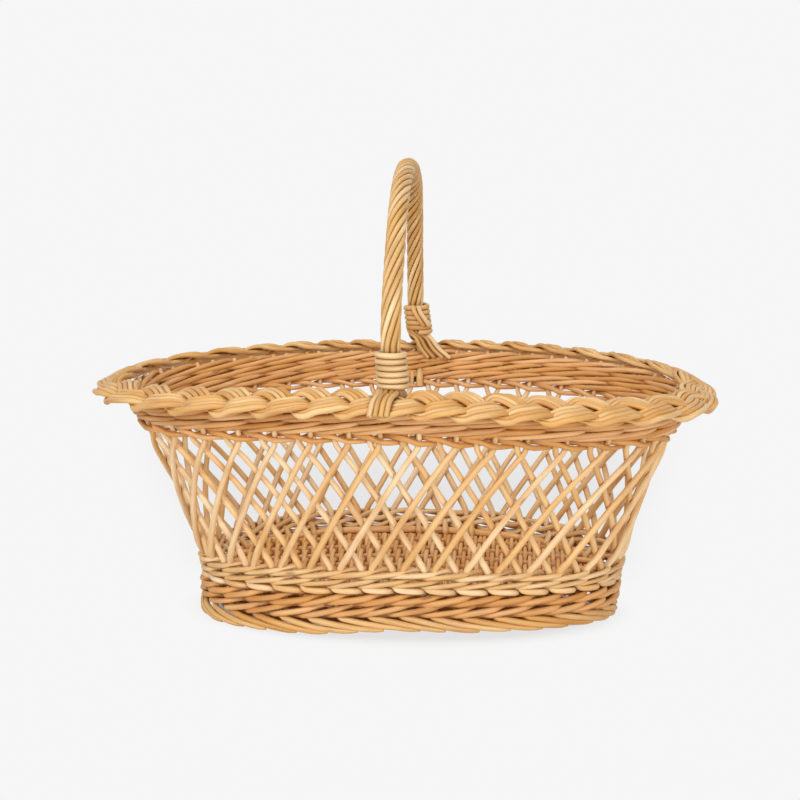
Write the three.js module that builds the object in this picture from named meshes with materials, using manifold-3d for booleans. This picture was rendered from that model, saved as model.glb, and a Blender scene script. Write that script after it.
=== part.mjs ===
// Oval open-work basket of peeled willow, with a fixed rope-wrapped handle over its middle.
//
// Millimetres, +Z up. The origin is on the ground under the middle of the basket. X runs along its
// length and -Y is its front. From the ground up it has a rolled foot border, two rows of waling
// round the foot, a floor woven on a hoop, two rows of waling above the hoop, a lattice of crossed
// stakes, a fitching row with three rows of waling over it, and a plaited border. Each stake is one
// rod bent into a hairpin under the hoop: one leg leans one way outside, the other leans back inside.

import * as THREE from "three";
import { mergeVertices } from "three/addons/utils/BufferGeometryUtils.js";
import Module from "manifold-3d";

const wasm = await Module();
wasm.setup();

// Plan of the wall, measured on its middle line at the ground
const BASE_LENGTH = 320; // along X
const BASE_WIDTH = 185; // along Y
const PLAN_SQUARENESS = 2.35; // exponent of the oval: 2 is an ellipse
const HOG = 9; // how much higher the middle of the long sides stands than the two ends

// Heights of the wall at its ends, and how far it has flared out from the ground line there
const FOOT_BORDER_HEIGHT = 12.4;
const FOOT_ROW_HEIGHT = 8.4;
const HOOP_ROW_HEIGHT = 5.6;
const UPSET_ROW_HEIGHT = 6.4;
const LATTICE_HEIGHT = 101;
const BAND_ROW_HEIGHT = 6.8;
const FOOT_FLARE = 5;
const LATTICE_FLARE = 36;
const BAND_FLARE = 7.5;
const LATTICE_WAIST = 3; // how far the lattice pulls in between its two bands

// Rods
const STAKE_BUTT_DIAMETER = 5; // thick end, at the hoop
const STAKE_TIP_DIAMETER = 3.9; // thin end, under the border
const HOOP_DIAMETER = 4.8;
const FLOOR_STICK_DIAMETER = 5;
const ROW_THICKNESS = 3.8; // of a row of waling, in or out of the wall
const GAP = 0.4; // left between pieces that touch on the real basket
const ROW_GAP = 0.5; // between one row of waling and the next

// Counts. A waling rod passes outside two stakes and inside the third, so stakes come in threes
const WALE_REPEATS = 12;
const STAKES = 3 * WALE_REPEATS;
const FOOT_ROWS = 2;
const UPSET_ROWS = 2;
const BAND_ROWS = 4; // the fitching row and three rows of waling
const FLOOR_STICKS = 5;

// Lattice
const LEAN = 2.5; // stake spaces that each leg moves along between the two bands
const LEG_SPACING = 7; // between the two legs of a hairpin, at the hoop
const TOP_LEG_SPACING = 0.4; // between two crossed legs in the upper band, in stake spaces
const LAYER = 2.8; // from the middle of the wall to the middle of each layer of legs
const LAYER_CHANGE_LOW = 11; // height in which the legs part into layers above the hoop band
const LAYER_CHANGE_HIGH = 4.5; // height in which they come together under the upper band
const LEG_RISE = 1.5; // from the top of the wall to where a leg bends out towards the border

// Floor
const FLOOR_STRIPS = 24; // each stands for three or four thin weavers side by side
const FLOOR_STRIP_THICKNESS = 3.3;
const FLOOR_LIFT = 4.75; // from a stick's middle to the middle of a strip over or under it
const FLOOR_END = 4.5; // from the hoop to the first strip and from the last one
const FLOOR_STICK_SPREAD = 0.62; // share of the floor's half width where the outer sticks lie

// Plaited border: three flat strands
const PLAIT_STRANDS = 3;
const STRAND_WIDTH = 9.2;
const STRAND_THICKNESS = 4.2;
const PLAIT_SWING = 11.6; // of a strand's middle, each side of the border's middle
const PLAIT_LIFT = 4.2; // of a strand's middle, above and below the border's middle
const PLAIT_OVERHANG = 15; // from the top of the wall out to the border's middle
const PLAIT_RISE = 6; // from the top of the wall up to the border's middle
const PLAIT_DROOP = THREE.MathUtils.degToRad(20);
const STAKE_SEAT = 1.3; // from a strand's underside down to the end of the stake that carries it

// Handle
const HANDLE_INSET = 3; // from the top of the wall in to the middle line of the bow's feet
const HANDLE_HEIGHT = 350; // middle line of the bow at its top
const HANDLE_SQUARENESS = 2.1;
const HANDLE_CORE_DIAMETER = 5.8;
const ROPE_STRANDS = 4;
const ROPE_STRAND_WIDTH = 6.2;
const ROPE_STRAND_THICKNESS = 3.2;
const ROPE_TURNS = 4.5;
const BINDING_TURNS = 5.5;
const BINDING_ROD_DIAMETER = 3.5;
const BINDING_PITCH = 3.98;
const BINDING_LIFT = 3.2; // of the binding's lowest turn above the border's crest

const WOOD = { roughness: 0.62, metalness: 0 };
const willow = {
  stake: new THREE.MeshStandardMaterial({ color: 0xe3b878, ...WOOD }),
  wale: new THREE.MeshStandardMaterial({ color: 0xcf9a60, ...WOOD }),
  border: new THREE.MeshStandardMaterial({ color: 0xe0bb7c, ...WOOD }),
  floor: new THREE.MeshStandardMaterial({ color: 0xc9986a, ...WOOD }),
  handle: new THREE.MeshStandardMaterial({ color: 0xdfae69, ...WOOD }),
};

const halfLength = BASE_LENGTH / 2;
const halfWidth = BASE_WIDTH / 2;
const stakeRadius = STAKE_BUTT_DIAMETER / 2;
const tipRadius = STAKE_TIP_DIAMETER / 2;

const footRowsBottom = FOOT_BORDER_HEIGHT;
const hoopRowBottom = footRowsBottom + FOOT_ROWS * FOOT_ROW_HEIGHT;
const upsetBottom = hoopRowBottom + HOOP_ROW_HEIGHT;
const upsetTop = upsetBottom + UPSET_ROWS * UPSET_ROW_HEIGHT;
const bandBottom = upsetTop + LATTICE_HEIGHT;
const wallTop = bandBottom + BAND_ROWS * BAND_ROW_HEIGHT;

// The oval plan, walked once round at a steady pace. Share 0 is the right-hand end, 0.25 the middle
// of the back, 0.5 the left-hand end and 0.75 the middle of the front.
function ovalPoint(angle) {
  const c = Math.cos(angle);
  const s = Math.sin(angle);
  const power = 2 / PLAN_SQUARENESS;
  return new THREE.Vector2(
    halfLength * Math.sign(c) * Math.abs(c) ** power,
    halfWidth * Math.sign(s) * Math.abs(s) ** power,
  );
}

const PLAN_STEPS = 2880;
const planPoints = [];
const planLengths = [0];
for (let i = 0; i <= PLAN_STEPS; i++) {
  planPoints.push(ovalPoint((2 * Math.PI * i) / PLAN_STEPS));
  if (i > 0) {
    planLengths.push(planLengths[i - 1] + planPoints[i].distanceTo(planPoints[i - 1]));
  }
}
const planLength = planLengths[PLAN_STEPS];
const stakeSpace = planLength / STAKES;

// The plan's point at a share of the way round, with its outward direction
function planAt(share) {
  const target = THREE.MathUtils.euclideanModulo(share, 1) * planLength;
  let low = 0;
  let high = PLAN_STEPS;
  while (high - low > 1) {
    const middle = (low + high) >> 1;
    if (planLengths[middle] <= target) low = middle;
    else high = middle;
  }
  const part = (target - planLengths[low]) / (planLengths[high] - planLengths[low]);
  const point = planPoints[low].clone().lerp(planPoints[high], part);
  const slope = (value, half) =>
    (Math.sign(value) * Math.abs(value / half) ** (PLAN_SQUARENESS - 1)) / half;
  const outward = new THREE.Vector2(slope(point.x, halfLength), slope(point.y, halfWidth));
  return { point, outward: outward.normalize() };
}

// How much higher a point stands for lying nearer the middle of the length
function hogAt(x) {
  return HOG * Math.max(0, 1 - (x / halfLength) ** 2);
}

// How far the wall stands out at a height, from its line on the ground
function flareAt(height) {
  if (height <= upsetTop) return (FOOT_FLARE * height) / upsetTop;
  if (height <= bandBottom) {
    const part = (height - upsetTop) / LATTICE_HEIGHT;
    return FOOT_FLARE + LATTICE_FLARE * part - LATTICE_WAIST * 4 * part * (1 - part);
  }
  const part = (height - bandBottom) / (wallTop - bandBottom);
  return FOOT_FLARE + LATTICE_FLARE + BAND_FLARE * part;
}

// A point of the wall: share of the way round, height at the ends, and distance outside its middle
function wallPoint(share, height, outside = 0, flare = flareAt(height)) {
  const { point, outward } = planAt(share);
  const reach = flare + outside;
  return new THREE.Vector3(
    point.x + outward.x * reach,
    point.y + outward.y * reach,
    height + hogAt(point.x),
  );
}

function outwardAt(share) {
  const { outward } = planAt(share);
  return new THREE.Vector3(outward.x, outward.y, 0);
}

const UP = new THREE.Vector3(0, 0, 1);

// A solid rod through a list of stops. Each stop has a point, a direction `across` that its width
// lies along, and half its width and thickness. A closed rod joins its last stop to its first.
function rod(stops, sides, closed = false, firstCorner = 0) {
  const count = stops.length;
  const positions = [];
  const index = [];
  for (let i = 0; i < count; i++) {
    const before = stops[closed ? (i + count - 1) % count : Math.max(0, i - 1)].point;
    const after = stops[closed ? (i + 1) % count : Math.min(count - 1, i + 1)].point;
    const along = after.clone().sub(before).normalize();
    const { point, across, half } = stops[i];
    const wide = across.clone().addScaledVector(along, -across.dot(along)).normalize();
    const thick = along.clone().cross(wide);
    for (let j = 0; j < sides; j++) {
      const angle = firstCorner + (2 * Math.PI * j) / sides;
      const corner = point
        .clone()
        .addScaledVector(wide, half[0] * Math.cos(angle))
        .addScaledVector(thick, half[1] * Math.sin(angle));
      positions.push(corner.x, corner.y, corner.z);
    }
  }
  const spans = closed ? count : count - 1;
  for (let i = 0; i < spans; i++) {
    const here = i * sides;
    const there = ((i + 1) % count) * sides;
    for (let j = 0; j < sides; j++) {
      const next = (j + 1) % sides;
      index.push(here + j, here + next, there + next);
      index.push(here + j, there + next, there + j);
    }
  }
  if (!closed) {
    const last = (count - 1) * sides;
    for (let j = 1; j < sides - 1; j++) {
      index.push(0, j + 1, j);
      index.push(last, last + j, last + j + 1);
    }
  }
  const geometry = new THREE.BufferGeometry();
  geometry.setAttribute("position", new THREE.Float32BufferAttribute(positions, 3));
  geometry.setIndex(index);
  return geometry;
}

// The same with a flat, four-cornered section
function band(stops, closed = false) {
  const wider = stops.map((stop) => ({ ...stop, half: stop.half.map((h) => h * Math.SQRT2) }));
  return rod(wider, 4, closed, Math.PI / 4);
}

// Solids that are joined or cut
function toSolid(geometry) {
  const bare = new THREE.BufferGeometry();
  bare.setAttribute("position", geometry.getAttribute("position"));
  bare.setIndex(geometry.index);
  const merged = mergeVertices(bare, 1e-4);
  return new wasm.Manifold(
    new wasm.Mesh({
      numProp: 3,
      vertProperties: merged.attributes.position.array,
      triVerts: new Uint32Array(merged.index.array),
    }),
  );
}

function toGeometry(solid) {
  const mesh = solid.getMesh();
  const geometry = new THREE.BufferGeometry();
  geometry.setAttribute("position", new THREE.Float32BufferAttribute(mesh.vertProperties, 3));
  geometry.setIndex(new THREE.BufferAttribute(mesh.triVerts, 1));
  return geometry;
}

function join(geometries) {
  return toGeometry(geometries.map(toSolid).reduce((whole, piece) => whole.add(piece)));
}

const basket = new THREE.Group();
basket.name = "oval_basket";

function addPiece(name, geometry, material) {
  geometry.computeVertexNormals();
  const mesh = new THREE.Mesh(geometry, material);
  mesh.name = name;
  basket.add(mesh);
}

// The border's own directions at a share of the way round: across it and square to it. It lies
// outwards from the top of the wall and droops.
const plaitFlare = flareAt(wallTop) + PLAIT_OVERHANG;
const plaitHeight = wallTop + PLAIT_RISE;

function plaitFrame(share) {
  const outward = outwardAt(share);
  const sideways = outward.clone().multiplyScalar(Math.cos(PLAIT_DROOP));
  sideways.addScaledVector(UP, -Math.sin(PLAIT_DROOP));
  const above = outward.clone().multiplyScalar(Math.sin(PLAIT_DROOP));
  above.addScaledVector(UP, Math.cos(PLAIT_DROOP));
  return { outward, sideways, above };
}

function plaitPoint(share, aside, lift) {
  const { sideways, above } = plaitFrame(share);
  return wallPoint(share, plaitHeight, 0, plaitFlare)
    .addScaledVector(sideways, aside)
    .addScaledVector(above, lift);
}

// Where one strand's middle is at a share: how far across the border, and how far above its middle.
// A strand is straight between its stops.
const PLAIT_STOPS = 6; // for each full swing of a strand
const plaitSteps = WALE_REPEATS * PLAIT_STOPS;

function strandPlace(number, share) {
  const at = (step) => {
    const swing = 2 * Math.PI * (step / PLAIT_STOPS + number / PLAIT_STRANDS);
    return [PLAIT_SWING * Math.cos(swing), PLAIT_LIFT * Math.sin(2 * swing)];
  };
  const from = Math.floor(share * plaitSteps);
  const [before, after] = [at(from), at(from + 1)];
  const part = share * plaitSteps - from;
  const [aside, lift] = before.map((value, i) => THREE.MathUtils.lerp(value, after[i], part));
  return { aside, lift };
}

// A stake's seat under the strand that lies nearest the border's inner edge
function underBorder(share) {
  const places = Array.from({ length: PLAIT_STRANDS }, (_, i) => strandPlace(i, share));
  const { aside, lift } = places.reduce((a, b) => (a.aside < b.aside ? a : b));
  return plaitPoint(share, aside, lift - STRAND_THICKNESS / 2 - STAKE_SEAT);
}

// Stakes. A leg leans along the wall by LEAN spaces while it climbs the lattice, the outer leg one
// way round (+1) and the inner leg the other (-1).
const ROD_SIDES = 4;
const LATTICE_STOPS = 2;
const legTop = wallTop + LEG_RISE;
const hairpinBottom = hoopRowBottom + GAP / 2 + stakeRadius;

function legStops(number, way) {
  const start = number / STAKES + (way * LEG_SPACING) / 2 / planLength;
  const end = (number + way * (LEAN + TOP_LEG_SPACING / 2)) / STAKES;
  const radiusAt = (height) =>
    THREE.MathUtils.mapLinear(height, upsetTop, legTop, stakeRadius, tipRadius);
  const stops = [];
  const add = (share, height, layer) => {
    const radius = Math.min(stakeRadius, radiusAt(height));
    stops.push({
      point: wallPoint(share, height, way * layer),
      across: outwardAt(share),
      half: [radius, radius],
    });
  };
  stops.push({ point: underBorder(end), across: outwardAt(end), half: [tipRadius, tipRadius] });
  add(end, legTop, 0);
  add(end, bandBottom, 0);
  const latticeLow = upsetTop + LAYER_CHANGE_LOW;
  const latticeHigh = bandBottom - LAYER_CHANGE_HIGH;
  for (let i = LATTICE_STOPS; i >= 0; i--) {
    const height = THREE.MathUtils.lerp(latticeLow, latticeHigh, i / LATTICE_STOPS);
    const climbed = (height - upsetTop) / LATTICE_HEIGHT;
    add(THREE.MathUtils.lerp(start, end, climbed), height, LAYER);
  }
  add(start, upsetTop, 0);
  add(start, hairpinBottom + LEG_SPACING / 2, 0);
  return stops;
}

for (let i = 0; i < STAKES; i++) {
  const bend = (part) => ({
    point: wallPoint((i + (part * LEG_SPACING) / 4 / stakeSpace) / STAKES, hairpinBottom),
    across: outwardAt(i / STAKES),
    half: [stakeRadius, stakeRadius],
  });
  const stops = [...legStops(i, 1), bend(1), bend(-1), ...legStops(i, -1).reverse()];
  const name = `stake_${String(i + 1).padStart(2, "0")}`;
  addPiece(name, rod(stops, ROD_SIDES), willow.stake);
}

// Rows of waling. The row passes outside two stakes and inside the third, and each row starts one
// stake further on than the row below.
const LOW_SAG = 1.05; // a straight stretch of a low row cuts inside the oval by up to this much
const HIGH_SAG = 2; // and of a high row
const ROW_PATTERN = [
  [-0.3, 1],
  [0.5, 1],
  [1.3, 1],
  [1.7, -1],
  [2.3, -1],
];

function wovenRow(height, rowHeight, clearRadius, firstStake) {
  const swing = clearRadius + ROW_THICKNESS / 2 + GAP;
  const stops = [];
  for (let repeat = 0; repeat < WALE_REPEATS; repeat++) {
    for (const [place, side] of ROW_PATTERN) {
      const share = (3 * repeat + place + firstStake) / STAKES;
      stops.push({
        point: wallPoint(share, height, side * swing),
        across: UP,
        half: [(rowHeight - ROW_GAP) / 2, ROW_THICKNESS / 2],
      });
    }
  }
  return band(stops, true);
}

for (let i = 0; i < FOOT_ROWS; i++) {
  const height = footRowsBottom + (i + 0.5) * FOOT_ROW_HEIGHT;
  const row = wovenRow(height, FOOT_ROW_HEIGHT, stakeRadius + LOW_SAG, i);
  addPiece(`foot_wale_${i + 1}`, row, willow.wale);
}
for (let i = 0; i < UPSET_ROWS; i++) {
  const height = upsetBottom + (i + 0.5) * UPSET_ROW_HEIGHT;
  const row = wovenRow(height, UPSET_ROW_HEIGHT, stakeRadius + LOW_SAG, i);
  addPiece(`upset_wale_${i + 1}`, row, willow.border);
}
// Legs cross half a space further on at the top, so the rows there are half a space round too
for (let i = 0; i < BAND_ROWS; i++) {
  const height = bandBottom + (i + 0.5) * BAND_ROW_HEIGHT;
  const row = wovenRow(height, BAND_ROW_HEIGHT, tipRadius + HIGH_SAG, i + 0.5);
  addPiece(i === 0 ? "fitching_row" : `upper_wale_${i}`, row, willow.wale);
}

// Rolled foot border, with the short stakes that carry it standing up inside the foot waling. It
// rests on the ground at the two ends, on faces FOOT_FLAT deep.
const FOOT_SIDES = 6;
const FOOT_STEPS = 48;
const FOOT_FLAT = 0.5;
const FOOT_BORDER_THICKNESS = 11;
const footStops = [];
for (let i = 0; i < FOOT_STEPS; i++) {
  const share = i / FOOT_STEPS;
  const top = wallPoint(share, FOOT_BORDER_HEIGHT - GAP / 2);
  const bottom = Math.max(0, hogAt(top.x) - FOOT_FLAT);
  const halfHeight = (top.z - bottom) / 2;
  footStops.push({
    point: new THREE.Vector3(top.x, top.y, (top.z + bottom) / 2),
    across: outwardAt(share),
    half: [FOOT_BORDER_THICKNESS / 2, halfHeight / Math.sin(Math.PI / 3)],
  });
}
const footPieces = [rod(footStops, FOOT_SIDES, true)];
for (let i = 0; i < STAKES; i++) {
  const share = i / STAKES;
  const stub = [FOOT_BORDER_HEIGHT / 2, hoopRowBottom - GAP / 2].map((height) => ({
    point: wallPoint(share, height),
    across: outwardAt(share),
    half: [stakeRadius, stakeRadius],
  }));
  footPieces.push(rod(stub, ROD_SIDES));
}
addPiece("foot_border", join(footPieces), willow.border);

// Floor frame: a hoop just inside the hairpins, with sticks along the basket let into it
const hoopHeight = hoopRowBottom + HOOP_ROW_HEIGHT / 2;
const hoopInset = stakeRadius + GAP + HOOP_DIAMETER / 2;
const HOOP_STEPS = 40;

// Where a line parallel to the wall meets a given x or y, within one quarter of the plan
function quarterShare(axis, value, outside) {
  let low = 0;
  let high = 0.25;
  for (let i = 0; i < 40; i++) {
    const middle = (low + high) / 2;
    const found = wallPoint(middle, hoopHeight, outside)[axis];
    const beyond = axis === "x" ? found < value : found > value;
    if (beyond) high = middle;
    else low = middle;
  }
  return low;
}

function reachAt(axis, value, outside) {
  const other = axis === "x" ? "y" : "x";
  return wallPoint(quarterShare(axis, value, outside), hoopHeight, outside)[other];
}

const hoopStops = [];
for (let i = 0; i < HOOP_STEPS; i++) {
  hoopStops.push({
    point: wallPoint(i / HOOP_STEPS, hoopHeight, -hoopInset),
    across: outwardAt(i / HOOP_STEPS),
    half: [HOOP_DIAMETER / 2, HOOP_DIAMETER / 2],
  });
}

const STICK_STEPS = 8;
const STICK_SIDES = 5;
const floorEdge = hoopInset + HOOP_DIAMETER / 2 + 3 * GAP;
const floorHalfWidth = reachAt("x", 0, -floorEdge);

function floorStick(y) {
  const end = reachAt("y", Math.abs(y), -hoopInset);
  const stops = [];
  for (let i = 0; i <= STICK_STEPS; i++) {
    const x = THREE.MathUtils.lerp(-end, end, i / STICK_STEPS);
    stops.push({
      point: new THREE.Vector3(x, y, hoopHeight + hogAt(x)),
      across: new THREE.Vector3(0, 1, 0),
      half: [FLOOR_STICK_DIAMETER / 2, FLOOR_STICK_DIAMETER / 2],
    });
  }
  return rod(stops, STICK_SIDES);
}

const outerStick = (FLOOR_STICKS - 1) / 2;
const stickSpacing = (FLOOR_STICK_SPREAD * floorHalfWidth) / outerStick;
const stickPlaces = Array.from({ length: FLOOR_STICKS }, (_, i) => (i - outerStick) * stickSpacing);
const sticks = stickPlaces.map(floorStick);
addPiece("floor_frame", join([rod(hoopStops, ROD_SIDES, true), ...sticks]), willow.stake);

// Floor weaving: strips across the basket. A strip passes over one stick and under the next, its
// neighbours go the other way round, and where two of them cross between sticks they are one body.
function weaveHeight(strip, y) {
  const place = Math.abs(y) / stickSpacing;
  const stick = Math.min(Math.floor(place), outerStick);
  const turn = 1 - 2 * (place - stick);
  const share = stick === outerStick ? Math.max(0, turn) : turn;
  return (strip + stick) % 2 === 0 ? FLOOR_LIFT * share : -FLOOR_LIFT * share;
}

// Corners of a strip's section: its left or right side, and its underside or top
const STRIP_CORNERS = [[0, -1], [1, -1], [1, 1], [0, 1]];

function floorStrip(strip) {
  const end = reachAt("y", 0, -floorEdge) - FLOOR_END;
  const sides = [strip, strip + 1].map((i) => THREE.MathUtils.lerp(-end, end, i / FLOOR_STRIPS));
  const reaches = sides.map((x) => reachAt("x", Math.abs(x), -floorEdge));
  const crossed = (y) => Math.abs(y) < Math.min(...reaches) - GAP;
  // Near the ends of the oval a strip stops on the first stick that it can't quite cross
  const limit = Math.min(...stickPlaces.filter((y) => y > 0 && !crossed(y)), halfWidth);
  const ends = reaches.map((reach) => Math.min(reach, limit));
  const stops = [ends.map((y) => -y), ...stickPlaces.filter(crossed).map((y) => [y, y]), ends];
  const positions = [];
  for (const stop of stops) {
    for (const [side, up] of STRIP_CORNERS) {
      const middle = hoopHeight + hogAt(sides[side]) + weaveHeight(strip, stop[side]);
      positions.push(sides[side], stop[side], middle + (up * FLOOR_STRIP_THICKNESS) / 2);
    }
  }
  const last = 4 * (stops.length - 1);
  const index = [0, 1, 2, 0, 2, 3, last, last + 2, last + 1, last, last + 3, last + 2];
  for (let here = 0; here < last; here++) {
    const next = here % 4 === 3 ? here - 3 : here + 1;
    index.push(here, next + 4, next, here, here + 4, next + 4);
  }
  const geometry = new THREE.BufferGeometry();
  geometry.setAttribute("position", new THREE.Float32BufferAttribute(positions, 3));
  geometry.setIndex(index);
  return geometry;
}

const strips = Array.from({ length: FLOOR_STRIPS }, (_, strip) => floorStrip(strip));
addPiece("floor_weaving", join(strips), willow.floor);

// Plaited border. Each strand swings in and out across the border while it rises and dips, so that
// it passes over one strand and under the next. One strand turns at the inner edge at each stake.
const PLAIT_SIDES = 6;

function plaitStrand(number) {
  const stops = [];
  for (let i = 0; i < plaitSteps; i++) {
    const share = i / plaitSteps;
    const { aside, lift } = strandPlace(number, share);
    stops.push({
      point: plaitPoint(share, aside, lift),
      across: plaitFrame(share).above,
      half: [STRAND_THICKNESS / 2, STRAND_WIDTH / 2],
    });
  }
  return rod(stops, PLAIT_SIDES, true);
}

for (let i = 0; i < PLAIT_STRANDS; i++) {
  addPiece(`border_strand_${i + 1}`, plaitStrand(i), willow.border);
}

// Handle. The bow stands over the middle of the long sides. Its front end is made first, and its
// back end is the same turned half round.
const coreRadius = HANDLE_CORE_DIAMETER / 2;
const borderTop = PLAIT_LIFT + STRAND_THICKNESS / 2;
const crestHeight = plaitHeight + HOG + PLAIT_SWING * Math.sin(PLAIT_DROOP) + borderTop;
const bindingBottom = crestHeight + BINDING_LIFT;
const bindingHeight = BINDING_TURNS * BINDING_PITCH + BINDING_ROD_DIAMETER;
const bindingTop = bindingBottom + bindingHeight;
const bowRise = HANDLE_HEIGHT - bindingTop;
const bowHalfSpan = halfWidth + flareAt(wallTop) - HANDLE_INSET;
const BOW_STEPS = 36;

function bowPoint(angle) {
  const c = Math.cos(angle);
  const power = 2 / HANDLE_SQUARENESS;
  return new THREE.Vector3(
    0,
    -bowHalfSpan * Math.sign(c) * Math.abs(c) ** power,
    bindingTop + bowRise * Math.abs(Math.sin(angle)) ** power,
  );
}
const bowCurve = new THREE.CatmullRomCurve3(
  Array.from({ length: BOW_STEPS + 1 }, (_, i) => bowPoint((Math.PI * i) / BOW_STEPS)),
);
bowCurve.arcLengthDivisions = 400;

const X_AXIS = new THREE.Vector3(1, 0, 0);
const halfTurn = new THREE.Matrix4().makeRotationZ(Math.PI);
const turned = (stops) =>
  stops
    .map(({ point, across, half }) => ({
      point: point.clone().applyMatrix4(halfTurn),
      across: across.clone().applyMatrix4(halfTurn),
      half,
    }))
    .reverse();

// The inner face of the upper band at the middle of the front
function bandInside(height) {
  const rowReach = tipRadius + HIGH_SAG + GAP + ROW_THICKNESS + GAP;
  return -(halfWidth + flareAt(height) - rowReach);
}

// The core runs from inside the upper band, through the border's inner edge, round the bow
const CORE_SIDES = 6;
const CORE_STEPS = 20;
const coreStop = (point) => ({ point, across: X_AXIS, half: [coreRadius, coreRadius] });
const coreEnd = [
  new THREE.Vector3(0, bandInside(bandBottom) + GAP, bandBottom + HOG),
  new THREE.Vector3(0, bandInside(wallTop) + GAP, wallTop + HOG),
  new THREE.Vector3(0, -bowHalfSpan, crestHeight - 2 * STRAND_THICKNESS),
].map(coreStop);
const coreStops = [...coreEnd];
for (let i = 0; i <= CORE_STEPS; i++) {
  coreStops.push(coreStop(bowCurve.getPointAt(i / CORE_STEPS)));
}
coreStops.push(...turned(coreEnd));
addPiece("handle_core", rod(coreStops, CORE_SIDES), willow.handle);

// Rope strands: each is a flat pair of rods that turns round the core from binding to binding.
// Under the bindings two strands lie over the border and two run down inside it.
const ROPE_STOPS_A_TURN = 8;
const ropeRadius =
  (coreRadius + GAP + ROPE_STRAND_THICKNESS / 2) / Math.cos(Math.PI / ROPE_STOPS_A_TURN);
const ropeHalf = [ROPE_STRAND_THICKNESS / 2, ROPE_STRAND_WIDTH / 2];
const TAIL_CLEARANCE = 0.3;
const FRONT = 0.75; // share of the way round where the middle of the front is

function ropeStop(centre, along, angle) {
  const inward = along.clone().cross(X_AXIS).normalize();
  const away = X_AXIS.clone()
    .multiplyScalar(Math.cos(angle))
    .addScaledVector(inward, Math.sin(angle));
  const point = centre.clone().addScaledVector(away, ropeRadius);
  return { point, across: away, half: ropeHalf };
}

// Tails at the front, from their ends up to the binding. Each stop of an outer tail gives x, how
// far out across the border it is, and how far above the border's middle.
const OUTER_TAILS = [
  [[-12.5, 19, -1], [-11.5, 15.6, 5], [-9.5, 7, 8.8], [-6, -5, 9]],
  [[-3.2, 20, -1], [-2.6, 16.6, 5], [-1, 7, 8.8], [2, -5, 9]],
];
const INNER_TAILS = [
  [[11, -7], [9, 3], [7.2, 14]],
  [[-12, -7], [-9.5, 3], [-7.2, 14]],
];

function outerTail([x, out, over]) {
  const { outward, above } = plaitFrame(FRONT);
  const point = plaitPoint(FRONT, out, over);
  point.x = x;
  return { point, across: above.clone().lerp(outward, out > 16 ? 0.8 : 0), half: ropeHalf };
}

function innerTail([x, over]) {
  const height = wallTop + over;
  const inside = bandInside(Math.min(height, wallTop)) - Math.max(0, over - 3) * 0.5;
  const y = inside + ROPE_STRAND_THICKNESS / 2 + TAIL_CLEARANCE;
  return {
    point: new THREE.Vector3(x, y, height + HOG),
    across: new THREE.Vector3(0, 1, 0),
    half: ropeHalf,
  };
}

const BINDING_FLOOR = new THREE.Vector3(0, -bowHalfSpan, bindingBottom);
const quarterTurns = [1, 3, 5, 7].map((odd) => (odd * Math.PI) / 4);
const tails = [...INNER_TAILS.map((t) => t.map(innerTail)), ...OUTER_TAILS.map((t) => t.map(outerTail))];

for (let i = 0; i < ROPE_STRANDS; i++) {
  const first = quarterTurns[i];
  const count = ROPE_TURNS * ROPE_STOPS_A_TURN;
  const stops = [...tails[i], ropeStop(BINDING_FLOOR, UP, first)];
  for (let j = 0; j <= count; j++) {
    const share = j / count;
    const angle = first + 2 * Math.PI * ROPE_TURNS * share;
    stops.push(ropeStop(bowCurve.getPointAt(share), bowCurve.getTangentAt(share), angle));
  }
  // The half turn over its full turns brings the strand down on the other side of the bow
  const opposite = ROPE_STRANDS - 1 - i;
  stops.push(...turned([...tails[opposite], ropeStop(BINDING_FLOOR, UP, quarterTurns[opposite])]));
  addPiece(`handle_strand_${i + 1}`, band(stops), willow.handle);
}

// Bindings: one thin rod wound round each end of the rope
const BINDING_SIDES = 5;
const BINDING_STOPS_A_TURN = 12;
const BINDING_SAG = 0.6; // a straight stretch of the winding cuts inside its circle by this much
const bindingRadius =
  ropeRadius + ROPE_STRAND_THICKNESS / 2 + BINDING_SAG + GAP + BINDING_ROD_DIAMETER / 2;

function bindingStops() {
  const stops = [];
  const count = BINDING_TURNS * BINDING_STOPS_A_TURN;
  for (let i = 0; i <= count; i++) {
    const angle = Math.PI / 2 + (2 * Math.PI * i) / BINDING_STOPS_A_TURN;
    const away = new THREE.Vector3(Math.cos(angle), Math.sin(angle), 0);
    const climb = BINDING_ROD_DIAMETER / 2 + (BINDING_TURNS * BINDING_PITCH * i) / count;
    const point = BINDING_FLOOR.clone().addScaledVector(away, bindingRadius);
    stops.push({
      point: point.addScaledVector(UP, climb),
      across: away,
      half: [BINDING_ROD_DIAMETER / 2, BINDING_ROD_DIAMETER / 2],
    });
  }
  return stops;
}

// The least gap between turns of a winding, measured between stops half a turn or more apart
function leastGap(stops) {
  let least = Infinity;
  for (let i = 0; i < stops.length; i++) {
    for (let j = i + BINDING_STOPS_A_TURN / 2; j < stops.length; j++) {
      least = Math.min(least, stops[i].point.distanceTo(stops[j].point));
    }
  }
  return least - BINDING_ROD_DIAMETER;
}

const frontBinding = bindingStops();
console.log(`binding: least gap to itself ${leastGap(frontBinding).toFixed(2)} mm`);
addPiece("handle_binding_front", rod(frontBinding, BINDING_SIDES), willow.border);
addPiece("handle_binding_back", rod(turned(frontBinding), BINDING_SIDES), willow.border);

export default basket;
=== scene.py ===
# Oval open-work basket of willow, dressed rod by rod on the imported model.
#
# Sizes are in millimetres until a rod's mesh is made, in metres. +Z is up, X runs along the basket
# and -Y is its front. The file follows the order in which such a basket is made: floor, stakes,
# upset, lattice, upper band, plaited border, foot and handle, and last the studio round it.

import math

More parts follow.
